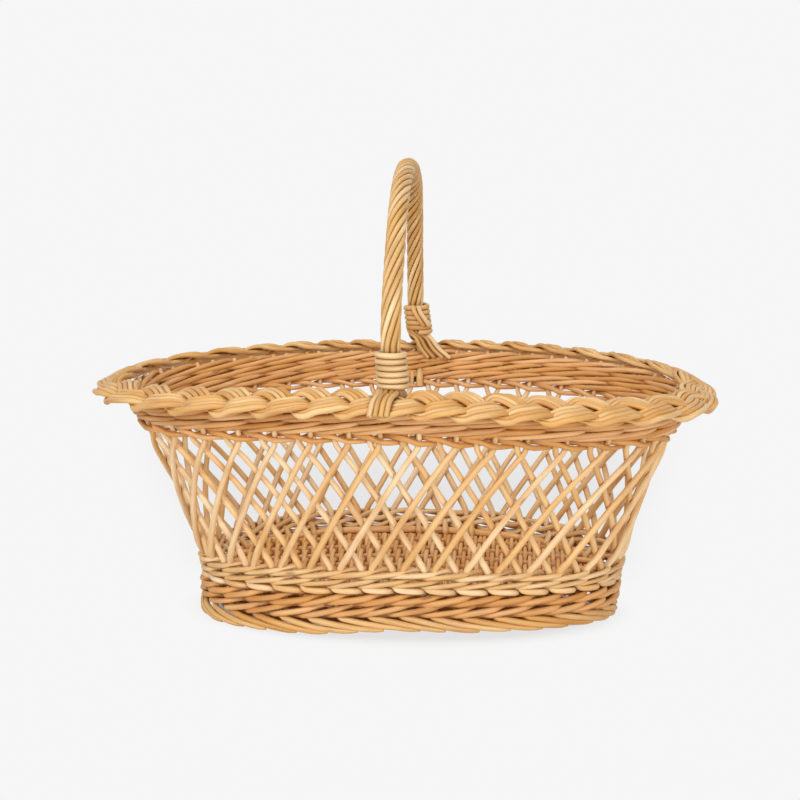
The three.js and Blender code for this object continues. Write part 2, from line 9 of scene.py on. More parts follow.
import bpy
import numpy as np
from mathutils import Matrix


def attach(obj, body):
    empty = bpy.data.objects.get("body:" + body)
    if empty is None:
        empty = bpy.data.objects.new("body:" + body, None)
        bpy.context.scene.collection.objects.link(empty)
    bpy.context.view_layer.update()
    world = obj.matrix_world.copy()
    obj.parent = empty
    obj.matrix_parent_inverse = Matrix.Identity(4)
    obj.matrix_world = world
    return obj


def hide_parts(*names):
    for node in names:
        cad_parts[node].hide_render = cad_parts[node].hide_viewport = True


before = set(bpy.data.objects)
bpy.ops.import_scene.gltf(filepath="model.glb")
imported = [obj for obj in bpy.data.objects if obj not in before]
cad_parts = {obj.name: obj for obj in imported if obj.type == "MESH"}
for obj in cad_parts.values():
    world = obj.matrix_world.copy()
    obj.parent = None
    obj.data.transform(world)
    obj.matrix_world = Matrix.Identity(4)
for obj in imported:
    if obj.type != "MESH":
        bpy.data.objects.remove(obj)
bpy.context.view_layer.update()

# The floor's hoop and sticks. The hoop is one thick willow rod bent to the oval of the base, and
# five straight sticks are let into it lengthways. Most other rods are measured from the same
# oval, and one tree gives all of them their thickness.
MM = 0.001
STAKES = 36  # stations round the wall; a place on the wall is counted in them
HALF_LENGTH = 160.0
HALF_WIDTH = 92.5
SQUARENESS = 2.35  # exponent of the oval: 2 is an ellipse
HOG = 9.0  # how much higher the middle of the long sides stands than the two ends

UPSET_BOTTOM = 34.8
UPSET_TOP = 47.6
BAND_BOTTOM = 148.6
WALL_TOP = 175.8
FOOT_FLARE = 5.0
LATTICE_FLARE = 36.0
LATTICE_WAIST = 3.0
BAND_FLARE = 7.5

# This basket is a little out of true. The wall stands out by so much at its two ends, by height
SPREAD_HEIGHTS = (0.0, UPSET_BOTTOM, UPSET_TOP + 6.0, 100.0, BAND_BOTTOM, WALL_TOP)
LEFT_SPREAD = (0.0, -4.5, -1.5, 1.0, 4.5, 8.0)
RIGHT_SPREAD = (0.0, 0.0, 3.0, 1.5, 1.0, 5.0)
RIM_TILT = 3.0  # its rim climbs at the left end and droops at the right
REAR_RIM_TILT = 2.6  # this many times that is added at the back on the right, so it climbs there
RIM_CROWN = 2.5  # and stands higher in the middle of the front
FOOT_TILT = 4.5  # its foot sags in front on the left and lifts at the right end
SAG_PLACES = (-1.0, -0.9, -0.4, 0.0, 0.3, 0.6, 1.0)  # from the left end to the right end
SAG = (0.3, 0.7, 1.0, 0.0, 0.0, -0.6, -2.0)  # share of the foot's tilt there

HOOP_HEIGHT = 32.0
HOOP_RADIUS = 3.1
HOOP_INSET = 6.2  # from the middle of the wall in to the middle of the hoop
STICKS = 5
STICK_RADIUS = 2.5
STICK_SPREAD = 0.62  # share of the floor's half width where the outer sticks lie

corner = np.linspace(0.0, 2.0 * math.pi, 2881)
power = 2.0 / SQUARENESS
oval_x = HALF_LENGTH * np.sign(np.cos(corner)) * np.abs(np.cos(corner)) ** power
oval_y = HALF_WIDTH * np.sign(np.sin(corner)) * np.abs(np.sin(corner)) ** power
oval_run = np.concatenate([[0.0], np.cumsum(np.hypot(np.diff(oval_x), np.diff(oval_y)))])
STAKE_SPACE = oval_run[-1] / STAKES


def oval_at(place):
    """Point on the ground and outward direction, counted in stakes round from the right end."""
    run = np.mod(np.asarray(place, float) / STAKES, 1.0) * oval_run[-1]
    x = np.interp(run, oval_run, oval_x)
    y = np.interp(run, oval_run, oval_y)
    outward = np.stack(
        [
            np.sign(x) * np.abs(x / HALF_LENGTH) ** (SQUARENESS - 1) / HALF_LENGTH,
            np.sign(y) * np.abs(y / HALF_WIDTH) ** (SQUARENESS - 1) / HALF_WIDTH,
            np.zeros_like(x),
        ],
        -1,
    )
    return x, y, outward / np.linalg.norm(outward, axis=-1, keepdims=True)


def hog_at(x):
    """How far everything is raised over the ground, most at the middle of the long sides."""
    return HOG * np.maximum(0.0, 1.0 - (x / HALF_LENGTH) ** 2)


def flare_at(height):
    """How far the wall stands out at a height, from its line on the ground."""
    part = (height - UPSET_TOP) / (BAND_BOTTOM - UPSET_TOP)
    low = FOOT_FLARE * height / UPSET_TOP
    middle = FOOT_FLARE + LATTICE_FLARE * part - LATTICE_WAIST * 4.0 * part * (1.0 - part)
    high = FOOT_FLARE + LATTICE_FLARE
    high = high + BAND_FLARE * (height - BAND_BOTTOM) / (WALL_TOP - BAND_BOTTOM)
    return np.where(height <= UPSET_TOP, low, np.where(height <= BAND_BOTTOM, middle, high))


def spread_at(x, height):
    """How far this wall, woven by eye, stands out from a true one."""
    right = np.maximum(0.0, x / HALF_LENGTH) ** 2 * np.interp(height, SPREAD_HEIGHTS, RIGHT_SPREAD)
    left = np.maximum(0.0, -x / HALF_LENGTH) ** 2 * np.interp(height, SPREAD_HEIGHTS, LEFT_SPREAD)
    return left + right


def tilt_at(x, y, height):
    """How far this wall, woven by eye, stands above or below a true one."""
    along = x / HALF_LENGTH
    behind = np.sqrt(np.clip(y / HALF_WIDTH, 0.0, 1.0))
    front = np.clip(-y / HALF_WIDTH, 0.0, 1.0)
    rim = RIM_TILT * (REAR_RIM_TILT * behind * np.maximum(along, 0.0) - along)
    crown = RIM_CROWN * front * (1.0 - along ** 2)
    foot = -FOOT_TILT * front * np.interp(along, SAG_PLACES, SAG)
    high = np.interp(height, [UPSET_TOP, BAND_BOTTOM], [0.0, 1.0])
    top = np.interp(height, [BAND_BOTTOM, WALL_TOP], [0.2, 1.0]) * high
    low = np.interp(height, [0.0, UPSET_TOP], [1.0, 0.0])
    return rim * high + crown * top + foot * low


def wall(place, height, outside=0.0, reach=None):
    """Points of the wall from place, height at the ends, and distance outside its middle."""
    place, height, outside = np.broadcast_arrays(*np.atleast_1d(place, height, outside))
    x, y, outward = oval_at(place)
    reach = (flare_at(height) if reach is None else reach) + outside + spread_at(x, height)
    above_ground = height + hog_at(x) + tilt_at(x, y, height)
    return np.stack([x + outward[:, 0] * reach, y + outward[:, 1] * reach, above_ground], -1)


def linear(hex_colour):
    """An sRGB hex colour as linear RGBA."""
    channels = [int(hex_colour[i:i + 2], 16) / 255 for i in (0, 2, 4)]
    return [c / 12.92 if c <= 0.04045 else ((c + 0.055) / 1.055) ** 2.4 for c in channels] + [1.0]


def node(tree, kind, links=(), **settings):
    """Adds a node. Settings name its properties or its inputs, and links join sockets to inputs."""
    made = tree.nodes.new(kind)
    values = settings.pop("inputs", {})
    for name, value in settings.items():
        setattr(made, name, value)
    for name, value in values.items():
        made.inputs[name].default_value = value
    for name, source in dict(links).items():
        tree.links.new(source, made.inputs[name])
    return made


def rod_tree():
    """Turns lines with a `thick` value at each point into rods, with the way their grain runs."""
    tree = bpy.data.node_groups.new("willow_rods", "GeometryNodeTree")
    for name, kind in (
        ("Lines", "NodeSocketGeometry"),
        ("Sides", "NodeSocketInt"),
        ("Stray", "NodeSocketFloat"),
        ("Stray length", "NodeSocketFloat"),
        ("Swelling", "NodeSocketFloat"),
        ("Seed", "NodeSocketFloat"),
        ("Willow", "NodeSocketMaterial"),
    ):
        tree.interface.new_socket(name, in_out="INPUT", socket_type=kind)
    tree.interface.new_socket("Rods", in_out="OUTPUT", socket_type="NodeSocketGeometry")
    given = node(tree, "NodeGroupInput").outputs
    thick = node(
        tree, "GeometryNodeInputNamedAttribute", data_type="FLOAT", inputs={"Name": "thick"}
    )
    rod = node(tree, "GeometryNodeInputNamedAttribute", data_type="FLOAT", inputs={"Name": "rod"})
    lines = node(tree, "GeometryNodeMeshToCurve", {"Mesh": given["Lines"]})

    # No rod is quite straight: it strays a little from its path, each rod its own way
    place = node(tree, "GeometryNodeInputPosition")
    finer = node(
        tree, "ShaderNodeVectorMath", operation="DIVIDE",
        links={0: place.outputs[0], 1: given["Stray length"]},
    )
    own = node(
        tree, "ShaderNodeMath", operation="MULTIPLY_ADD",
        links={0: rod.outputs[0], 2: given["Seed"]}, inputs={1: 37.0},
    )
    stray = node(
        tree, "ShaderNodeTexNoise", noise_dimensions="4D",
        links={"Vector": finer.outputs[0], "W": own.outputs[0]},
        inputs={"Scale": 1.0, "Detail": 1.0},
    )
    centred = node(
        tree, "ShaderNodeVectorMath", operation="SUBTRACT",
        links={0: stray.outputs["Color"]}, inputs={1: (0.5, 0.5, 0.5)},
    )
    offset = node(
        tree, "ShaderNodeVectorMath", operation="SCALE",
        links={0: centred.outputs[0], "Scale": given["Stray"]},
    )
    bent = node(
        tree, "GeometryNodeSetPosition",
        {"Geometry": lines.outputs[0], "Offset": offset.outputs[0]},
    )
    swell = node(
        tree, "ShaderNodeMath", operation="MULTIPLY_ADD",
        links={0: stray.outputs["Fac"], 1: given["Swelling"]}, inputs={2: 1.0},
    )
    swollen = node(
        tree, "ShaderNodeMath", operation="MULTIPLY",
        links={0: thick.outputs[0], 1: swell.outputs[0]},
    )
    along = node(tree, "GeometryNodeSplineParameter")
    path = node(tree, "GeometryNodeCaptureAttribute", {"Geometry": bent.outputs[0]})
    path.capture_items.new("FLOAT", "along")
    tree.links.new(along.outputs["Length"], path.inputs["along"])
    ring = node(
        tree, "GeometryNodeCurvePrimitiveCircle", {"Resolution": given["Sides"]},
        inputs={"Radius": 1.0},
    )
    around = node(tree, "GeometryNodeInputPosition")
    section = node(tree, "GeometryNodeCaptureAttribute", {"Geometry": ring.outputs[0]})
    section.capture_items.new("VECTOR", "around")
    tree.links.new(around.outputs[0], section.inputs["around"])
    rods = node(
        tree, "GeometryNodeCurveToMesh",
        {
            "Curve": path.outputs[0],
            "Profile Curve": section.outputs[0],
            "Scale": swollen.outputs[0],
        },
        inputs={"Fill Caps": True},
    )
    split = node(tree, "ShaderNodeSeparateXYZ", {0: section.outputs["around"]})
    across = node(
        tree, "ShaderNodeMath", operation="MULTIPLY",
        links={0: split.outputs["X"], 1: thick.outputs[0]},
    )
    deep = node(
        tree, "ShaderNodeMath", operation="MULTIPLY",
        links={0: split.outputs["Y"], 1: thick.outputs[0]},
    )
    grain = node(
        tree, "ShaderNodeCombineXYZ",
        {"X": path.outputs["along"], "Y": across.outputs[0], "Z": deep.outputs[0]},
    )
    kept = node(
        tree, "GeometryNodeStoreNamedAttribute", data_type="FLOAT_VECTOR", domain="POINT",
        links={"Geometry": rods.outputs[0], "Value": grain.outputs[0]}, inputs={"Name": "grain"},
    )
    real = node(tree, "GeometryNodeRealizeInstances", {"Geometry": kept.outputs[0]})
    done = node(
        tree, "GeometryNodeSetMaterial",
        {"Geometry": real.outputs[0], "Material": given["Willow"]},
    )
    node(tree, "NodeGroupOutput", {"Rods": done.outputs[0]})
    return tree


willow_rods = rod_tree()
chance = np.random.default_rng(11)
CUT = 0.35  # a cut end is a little rounded over this length
CUT_SIZE = 0.74  # and how thick it is at the very end
CUT_EDGE = math.radians(55)  # edges that turn more than this, round a cut end, stay sharp
STRAY_LENGTH = 26.0  # a rod strays to and fro over about this length


def rods(name, paths, willow, replaced, slot, sides=10, stray=0.5, swelling=0.06):
    """A piece of one or more rods. Each path is its points, its radius there, and whether it is
    closed. `stray` is how far the rods leave their path and `swelling` how uneven they are."""
    points, edges, thick, own = [], [], [], []
    for line, radius, closed in paths:
        line = np.asarray(line, float)
        radius = np.broadcast_to(np.asarray(radius, float), len(line))
        if not closed:
            first = line[0] + CUT * (line[0] - line[1]) / np.linalg.norm(line[0] - line[1])
            last = line[-1] + CUT * (line[-1] - line[-2]) / np.linalg.norm(line[-1] - line[-2])
            line = np.concatenate([[first], line, [last]])
            radius = np.concatenate([[CUT_SIZE * radius[0]], radius, [CUT_SIZE * radius[-1]]])
        start = len(points)
        points.extend(line * MM)
        edges.extend((start + i, start + i + 1) for i in range(len(line) - 1))
        if closed:
            edges.append((start + len(line) - 1, start))
        thick.extend(radius * MM)
        own.extend([chance.random()] * len(line))
    lines = bpy.data.meshes.new(name + "_lines")
    lines.from_pydata(points, edges, [])
    lines.attributes.new("thick", "FLOAT", "POINT").data.foreach_set("value", thick)
    lines.attributes.new("rod", "FLOAT", "POINT").data.foreach_set("value", own)
    piece = bpy.data.objects.new(name, lines)
    bpy.context.scene.collection.objects.link(piece)
    shaping = piece.modifiers.new("willow rods", "NODES")
    shaping.node_group = willow_rods
    sizes = {
        "Sides": sides,
        "Stray": stray * MM,
        "Stray length": STRAY_LENGTH * MM,
        "Swelling": swelling,
        "Seed": 3.0,
        "Willow": willow,
    }
    for socket in willow_rods.interface.items_tree:
        if socket.in_out == "INPUT" and socket.name in sizes:
            shaping[socket.identifier] = sizes[socket.name]
    seen = piece.evaluated_get(bpy.context.evaluated_depsgraph_get())
    shape = bpy.data.meshes.new_from_object(seen)
    piece.modifiers.clear()
    piece.data = shape
    bpy.data.meshes.remove(lines)
    shape.name = name
    shape.shade_smooth()
    shape.set_sharp_from_angle(angle=CUT_EDGE)
    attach(piece, "root")
    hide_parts(*replaced)
    return piece


def willow_finish(name, pale, body, deep, mark, crevice_shade, gloss=0.48, crease_shade_reach=0.62):
    """Peeled willow: a satin skin over fine lengthways fibres. `grain` gives the length along the
    rod and the place in its section, `rod` tells the rods apart, and the last two arguments set the
    colour of the painted shade in its creases and how far out of them that painted shade reaches."""
    finish = bpy.data.materials.new(name)
    finish.use_nodes = True
    tree = finish.node_tree
    tree.nodes.clear()
    grain = node(tree, "ShaderNodeAttribute", attribute_name="grain")
    rod = node(tree, "ShaderNodeAttribute", attribute_name="rod")
    own = node(
        tree, "ShaderNodeMath", operation="MULTIPLY",
        links={0: rod.outputs["Fac"]}, inputs={1: 91.0},
    )

    # Streaks of fibre 0.5 mm wide and about 20 mm long, drawn a little coarse so that they show
    fibre_place = node(
        tree, "ShaderNodeVectorMath", operation="MULTIPLY",
        links={0: grain.outputs["Vector"]}, inputs={1: (1 / 0.020, 1 / 0.0005, 1 / 0.0005)},
    )
    fibres = node(
        tree, "ShaderNodeTexNoise", noise_dimensions="4D",
        links={"Vector": fibre_place.outputs[0], "W": own.outputs[0]},
        inputs={"Scale": 1.0, "Detail": 3.0, "Roughness": 0.55},
    )
    # Slow changes of tone over 30 to 60 mm of a rod, from the side that lay in the sun
    tone_place = node(
        tree, "ShaderNodeVectorMath", operation="MULTIPLY",
        links={0: grain.outputs["Vector"]}, inputs={1: (1 / 0.045, 1 / 0.006, 1 / 0.006)},
    )
    tones = node(
        tree, "ShaderNodeTexNoise", noise_dimensions="4D",
        links={"Vector": tone_place.outputs[0], "W": own.outputs[0]},
        inputs={"Scale": 1.0, "Detail": 2.0, "Roughness": 0.6},
    )
    # Bud scars about 2 mm across, one or two on most rods
    scar_place = node(
        tree, "ShaderNodeVectorMath", operation="MULTIPLY",
        links={0: grain.outputs["Vector"]}, inputs={1: (1 / 0.032, 1 / 0.009, 1 / 0.009)},
    )
    scars = node(
        tree, "ShaderNodeTexVoronoi", voronoi_dimensions="4D", feature="F1",
        links={"Vector": scar_place.outputs[0], "W": own.outputs[0]}, inputs={"Scale": 1.0},
    )
    scarred = node(
        tree, "ShaderNodeMapRange", links={"Value": scars.outputs["Distance"]},
        inputs={"From Min": 0.10, "From Max": 0.19, "To Min": 1.0, "To Max": 0.0},
    )
    # Dark flecks left of the bark, well under a millimetre wide
    fleck_place = node(
        tree, "ShaderNodeVectorMath", operation="MULTIPLY",
        links={0: grain.outputs["Vector"]}, inputs={1: (1 / 0.0022, 1 / 0.0007, 1 / 0.0007)},
    )
    flecks = node(
        tree, "ShaderNodeTexNoise", noise_dimensions="4D",
        links={"Vector": fleck_place.outputs[0], "W": own.outputs[0]},
        inputs={"Scale": 1.0, "Detail": 1.0},
    )
    flecked = node(
        tree, "ShaderNodeMapRange", links={"Value": flecks.outputs["Fac"]},
        inputs={"From Min": 0.70, "From Max": 0.78, "To Min": 0.0, "To Max": 0.55},
    )

    by_rod = node(
        tree, "ShaderNodeMix", data_type="RGBA", links={0: rod.outputs["Fac"]},
        inputs={6: linear(pale), 7: linear(body)},
    )
    toned_share = node(
        tree, "ShaderNodeMapRange", links={"Value": tones.outputs["Fac"]},
        inputs={"From Min": 0.42, "From Max": 0.72, "To Min": 0.0, "To Max": 0.75},
    )
    toned = node(
        tree, "ShaderNodeMix", data_type="RGBA",
        links={0: toned_share.outputs[0], 6: by_rod.outputs[2]}, inputs={7: linear(deep)},
    )
    fibre_share = node(
        tree, "ShaderNodeMapRange", links={"Value": fibres.outputs["Fac"]},
        inputs={"From Min": 0.45, "From Max": 0.75, "To Min": 0.0, "To Max": 0.38},
    )
    streaked = node(
        tree, "ShaderNodeMix", data_type="RGBA",
        links={0: fibre_share.outputs[0], 6: toned.outputs[2]}, inputs={7: linear(deep)},
    )
    marks = node(
        tree, "ShaderNodeMath", operation="MAXIMUM",
        links={0: scarred.outputs[0], 1: flecked.outputs[0]},
    )
    some = node(
        tree, "ShaderNodeMath", operation="MULTIPLY", links={0: marks.outputs[0]}, inputs={1: 0.6}
    )
    marked = node(
        tree, "ShaderNodeMix", data_type="RGBA",
        links={0: some.outputs[0], 6: streaked.outputs[2]}, inputs={7: linear(mark)},
    )
    # Painted shade: where rods press on one another the skin is darkened towards a deep brown by
    # how closed in it is, standing in for the shade that falls there
    crease = node(tree, "ShaderNodeAmbientOcclusion", samples=6, inputs={"Distance": 6 * MM})
    crease_share = node(
        tree, "ShaderNodeMapRange", links={"Value": crease.outputs["AO"]},
        inputs={"From Min": 0.08, "From Max": crease_shade_reach, "To Min": 0.85, "To Max": 0.0},
    )
    creased = node(
        tree, "ShaderNodeMix", data_type="RGBA",
        links={0: crease_share.outputs[0], 6: marked.outputs[2]}, inputs={7: linear(crevice_shade)},
    )
    shine = node(
        tree, "ShaderNodeMapRange", links={"Value": fibres.outputs["Fac"]},
        inputs={"From Min": 0.3, "From Max": 0.8, "To Min": gloss, "To Max": gloss + 0.16},
    )
    ridges = node(
        tree, "ShaderNodeMath", operation="MULTIPLY_ADD",
        links={0: scarred.outputs[0], 2: fibres.outputs["Fac"]}, inputs={1: 1.5},
    )
    relief = node(
        tree, "ShaderNodeBump", links={"Height": ridges.outputs[0]},
        inputs={"Strength": 0.35, "Distance": 0.12 * MM},
    )
    skin = node(
        tree, "ShaderNodeBsdfPrincipled",
        links={
            "Base Color": creased.outputs[2],
            "Roughness": shine.outputs[0],
            "Normal": relief.outputs[0],
        },
        inputs={"IOR": 1.5},
    )
    node(tree, "ShaderNodeOutputMaterial", {"Surface": skin.outputs[0]})
    return finish


# Buff willow, boiled in its bark before peeling: pinkish tan, dull
buff_floor_willow = willow_finish(
    "buff_floor_willow", "facb90", "eeb364", "cd8838", "7a4a26", "a86014", 0.54, 0.5
)
floor_edge = HOOP_INSET + HOOP_RADIUS
places = np.arange(0.0, STAKES, 0.12)
hoop = wall(places, HOOP_HEIGHT, -HOOP_INSET)
right_end = wall(0.0, HOOP_HEIGHT, -floor_edge)[0, 0]
half_floor = wall(STAKES / 4, HOOP_HEIGHT, -floor_edge)[0, 1]
edge = wall(np.linspace(0.0, STAKES / 4, 400), HOOP_HEIGHT, -floor_edge)
stick_rows = np.linspace(-1.0, 1.0, STICKS) * STICK_SPREAD * half_floor
stick_paths = []
for y in stick_rows:
    end = np.interp(abs(y), edge[:, 1], edge[:, 0])
    x = np.linspace(-end, end, 60)
    stick = np.stack([x, np.full_like(x, y), HOOP_HEIGHT + hog_at(x)], -1)
    stick_paths.append((stick, np.linspace(STICK_RADIUS, 0.86 * STICK_RADIUS, len(x)), False))
rods(
    "floor_hoop_and_sticks", [(hoop, HOOP_RADIUS, True), *stick_paths], buff_floor_willow,
    ["floor_frame"], "stake_willow", sides=12,
)

# The floor's weavers. Thin buff rods are laid across the sticks from one side of the hoop to the
# other, over one stick and under the next, and pushed close together.
WEAVER_RADIUS = 1.65
WEAVER_PITCH = 3.75
WEAVER_MARGIN = 4.0  # no weaver lies nearer to the hoop's two ends
weaver_paths = []
columns = int(2 * (right_end - WEAVER_MARGIN) / WEAVER_PITCH)
for i in range(columns + 1):
    x = (i - columns / 2) * WEAVER_PITCH
    y_end = np.interp(-abs(x), -edge[:, 0], edge[:, 1]) + HOOP_RADIUS
    y = np.linspace(-y_end, y_end, 46)
    weave = np.cos(math.pi * (y - stick_rows[0]) / (stick_rows[1] - stick_rows[0]))
    lift = (STICK_RADIUS + WEAVER_RADIUS) * weave * (-1) ** i
    under = np.clip((np.abs(y) - np.abs(stick_rows[0])) / (y_end - np.abs(stick_rows[0])), 0, 1)
    lift = lift * (1 - under) - (HOOP_RADIUS + WEAVER_RADIUS - 0.6) * under
    line = np.stack([np.full_like(y, x), y, HOOP_HEIGHT + hog_at(x) + lift], -1)
    thickness = np.linspace(1.1, 0.9, len(y)) * WEAVER_RADIUS * chance.uniform(0.92, 1.08)
    weaver_paths.append((line, thickness, False))
rods(
    "floor_weavers", weaver_paths, buff_floor_willow, ["floor_weaving"], "floor_willow",
    sides=8, stray=0.6,
)

# The stakes. At each station two peeled rods stand side by side in the upset: one leans along the
# wall outside the other, which leans back inside. Under the upset each is bent round the hoop.
STAKE_RADIUS = 2.5
LEAN = 2.5  # stake spaces that a leg moves along between the two bands
LEG_SPACING = 7.0  # between the two legs of a station in the upset
TOP_LEG_SPACING = 0.4  # between the legs that meet in the upper band, in stake spaces
TOP_STRAY = 0.035  # and how far they stray there
LAYER = 2.35  # from the wall's middle to the middle of a leg in the lattice
TIP_RADIUS = 1.95
LEG_RISE = 3.0  # how far a leg's tip stands up into the border
# Heights in the lattice, and how far a leg stands off the wall's middle there
LEG_STOPS = (
    (58.0, 0.9 * LAYER), (75.0, LAYER), (98.0, LAYER), (121.0, LAYER), (137.0, 0.9 * LAYER),
    (147.0, 0.6),
)

# White willow, peeled in spring: pale straw to gold, with a satin skin
white_stake_willow = willow_finish(
    "white_stake_willow", "f8deb4", "ecc080", "d29448", "94602c", "a8641c", 0.42
)


def eased(stops, spacing=2.5, unit=(STAKE_SPACE, 1.0, 1.0)):
    """Rows of (place, height, outside) on a smooth line through a few stops of a bent rod."""
    stops = np.array(stops, float)
    step = np.diff(stops, axis=0) * unit
    run = np.concatenate([[0.0], np.cumsum(np.linalg.norm(step, axis=1))])
    slope = np.gradient(stops, run, axis=0)
    at = np.linspace(0.0, run[-1], int(run[-1] / spacing) + 2)
    k = np.clip(np.searchsorted(run, at, "right") - 1, 0, len(run) - 2)
    span = (run[k + 1] - run[k])[:, None]
    u = (at - run[k])[:, None] / span
    start = stops[k] * (1 + 2 * u) * (1 - u) ** 2 + slope[k] * span * u * (1 - u) ** 2
    end = stops[k + 1] * (3 - 2 * u) * u ** 2 - slope[k + 1] * span * (1 - u) * u ** 2
    return start + end


def leg(station, way):
    """One leg of a stake, from the upset up to the border."""
    foot = station + way * LEG_SPACING / 2 / STAKE_SPACE
    top = station + way * (LEAN + TOP_LEG_SPACING / 2) + chance.normal(0.0, TOP_STRAY)
    lean = (top - foot) / (BAND_BOTTOM - UPSET_TOP)
    stops = [(foot, UPSET_BOTTOM + 1.5, 0.0), (foot, UPSET_TOP - 1.0, 0.0)]
    for height, out in LEG_STOPS:
        stops.append((foot + lean * (height - UPSET_TOP), height, way * out))
    stops += [(top, 160.0, 0.0), (top, WALL_TOP - 2.0, 0.0), (top, WALL_TOP + LEG_RISE, 1.5)]
    line = eased(stops)
    size = chance.uniform(0.94, 1.05)
    radius = np.interp(line[:, 1], [UPSET_TOP, WALL_TOP], [STAKE_RADIUS, TIP_RADIUS]) * size
    return wall(*line.T), radius, False


def hoop_bend(station):
    """The rod's bend: from the inner leg's foot out, along under the upset and round the hoop."""
    foot = station - LEG_SPACING / 2 / STAKE_SPACE
    stops = [
        (foot, UPSET_TOP - 5.0, 0.0),
        (foot, UPSET_BOTTOM + 2.5, 0.0),
        (foot + 0.12, HOOP_HEIGHT + 1.6, 2.2),
        (station + 0.2, HOOP_HEIGHT + 1.0, 3.8),
        (station + 0.62, HOOP_HEIGHT + 0.6, 3.8),
        (station + 0.76, HOOP_HEIGHT - 0.4, 0.6),
        (station + 0.82, HOOP_HEIGHT - 4.2, -HOOP_INSET),
        (station + 0.86, HOOP_HEIGHT, -HOOP_INSET - HOOP_RADIUS - STAKE_RADIUS + 0.2),
        (station + 0.90, HOOP_HEIGHT + 6.2, -HOOP_INSET + 0.3),
        (station + 0.98, UPSET_TOP - 6.0, -0.6),
    ]
    line = eased(stops, 1.5)
    return wall(*line.T), STAKE_RADIUS * 0.94, False


for station in range(STAKES):
    rods(
        f"willow_stake_{station + 1:02d}",
        [leg(station, 1), leg(station, -1), hoop_bend(station)],
        white_stake_willow, [f"stake_{station + 1:02d}"], "stake_willow", sides=12, stray=0.7,
    )

# The upset: two rows of three-rod waling in pale rods, which hold the stakes upright over the
# hoop. Each rod passes outside two stations and inside the third, over the rods it started with.
UPSET_ROWS = 2
UPSET_ROD_RADIUS = 1.85
ROW_RISE = 1.0  # how far a rod climbs on the outside, in rows
ROW_BITE = 2.0  # how sharply it turns in between two stakes
ROW_STRAY = 0.42  # how far it strays up or down at a station

# White willow in thinner rods, a little deeper in tone and duller than the stakes
pale_weaver_willow = willow_finish(
    "pale_weaver_willow", "f2d4a4", "e4b878", "c48c48", "8f5e30", "985610", 0.48
)


def waled_row(middle, pitch, thick, held, first, inside=1, climb=ROW_RISE, joints=3):
    """The rods of one row, wound round what is `held` in radius at each station. Each passes two
    stations on the outside and then `inside` stations on the inside, and is pieced out with new
    rods at `joints` places, where its ends are hidden."""
    turn = 2 + inside
    strokes = np.arange(-6.0, 2.0 * STAKES)
    paths = []
    for number in range(turn):
        uneven = chance.normal(0.0, ROW_STRAY, len(strokes))
        behind = first + number + 2.5  # a station that this rod passes on the inside
        cuts = behind + turn * np.sort(chance.choice(STAKES // turn, joints, replace=False))
        for cut, until in zip(cuts, np.append(cuts[1:], cuts[0] + STAKES)):
            place = np.arange(cut - 0.3, until + 0.34, 0.08)
            stage = np.mod(place - first - number, turn)
            side = np.tanh(ROW_BITE * np.cos(2 * math.pi * (stage - 1.0) / turn))
            rise = np.where(stage < 2.0, stage - 1.0, np.cos(math.pi * (stage - 2.0) / inside))
            over = np.where(stage < 2.0, np.clip(stage - 0.6, 0.0, 1.0), 0.0)
            outside = side * (held + thick) + thick / 3 * over
            height = middle + climb / 2 * pitch * rise + np.interp(place, strokes, uneven)
            radius = thick * np.linspace(1.1, 0.92, len(place)) * chance.uniform(0.96, 1.04)
            paths.append((wall(place, height, outside), radius, False))
    return paths


upset_pitch = (UPSET_TOP - UPSET_BOTTOM) / UPSET_ROWS
for row in range(UPSET_ROWS):
    rods(
        f"upset_waling_{row + 1}",
        waled_row(
            UPSET_BOTTOM + (row + 0.5) * upset_pitch, upset_pitch, UPSET_ROD_RADIUS, STAKE_RADIUS,
            row + 0.5,
        ),
        pale_weaver_willow, [f"upset_wale_{row + 1}"], "pale_willow",
    )

# The fitching: two buff rods twisted round each other between the crossed stakes, which hold the
# lattice's top at its spacing.
BAND_PITCH = 7.5
FITCH_RADIUS = 1.9
FITCH_LIFT = 2.0
FITCH_BITE = 1.5  # how steeply the two rods cross at a station
FITCH_JOINTS = (0, 12, 24)  # after these stations new rods begin

# Buff willow of the same boil as the floor's, a little deeper in tone
buff_weaver_willow = willow_finish(
    "buff_weaver_willow", "f0c088", "dc9f56", "b87730", "7d4c26", "b06618", 0.46, 0.56
)


def smooth(share):
    """An eased step from 0 to 1."""
    share = np.clip(share, 0.0, 1.0)
    return share ** 2 * (3 - 2 * share)


fitch_paths = []
for number in range(2):
    for begin in FITCH_JOINTS:
        place = np.arange(begin + number + 1.3, begin + number + 13.7, 0.09)
        stage = np.mod(place - number, 2.0)
        side = 1.0 - 2.0 * smooth((2.0 * np.abs(np.mod(stage + 0.5, 2.0) - 1.0) - 0.4) / 1.2)
        steep = np.tanh(FITCH_BITE * np.cos(math.pi * stage)) / math.tanh(FITCH_BITE)
        height = BAND_BOTTOM + BAND_PITCH / 2 + FITCH_LIFT * steep
        radius = FITCH_RADIUS * np.linspace(1.1, 0.92, len(place))
        fitch_paths.append((wall(place, height, side * (TIP_RADIUS + FITCH_RADIUS)), radius, False))
rods("fitching", fitch_paths, buff_weaver_willow, ["fitching_row"], "wale_willow")

# The upper band: three rows of four-rod waling in buff rods over the fitching. Each rod passes two
# stations outside and two inside, so that the band is closed on both faces.
BAND_ROWS = 4  # the fitching is the lowest of them
BAND_ROD_RADIUS = 2.02
BAND_RISE = 0.82
for row in range(1, BAND_ROWS):
    rods(
        f"upper_waling_{row}",
        waled_row(
            BAND_BOTTOM + (row + 0.5) * BAND_PITCH, BAND_PITCH, BAND_ROD_RADIUS, TIP_RADIUS, row,
            inside=2, climb=BAND_RISE,
        ),
        buff_weaver_willow, [f"upper_wale_{row}"], "wale_willow",
    )

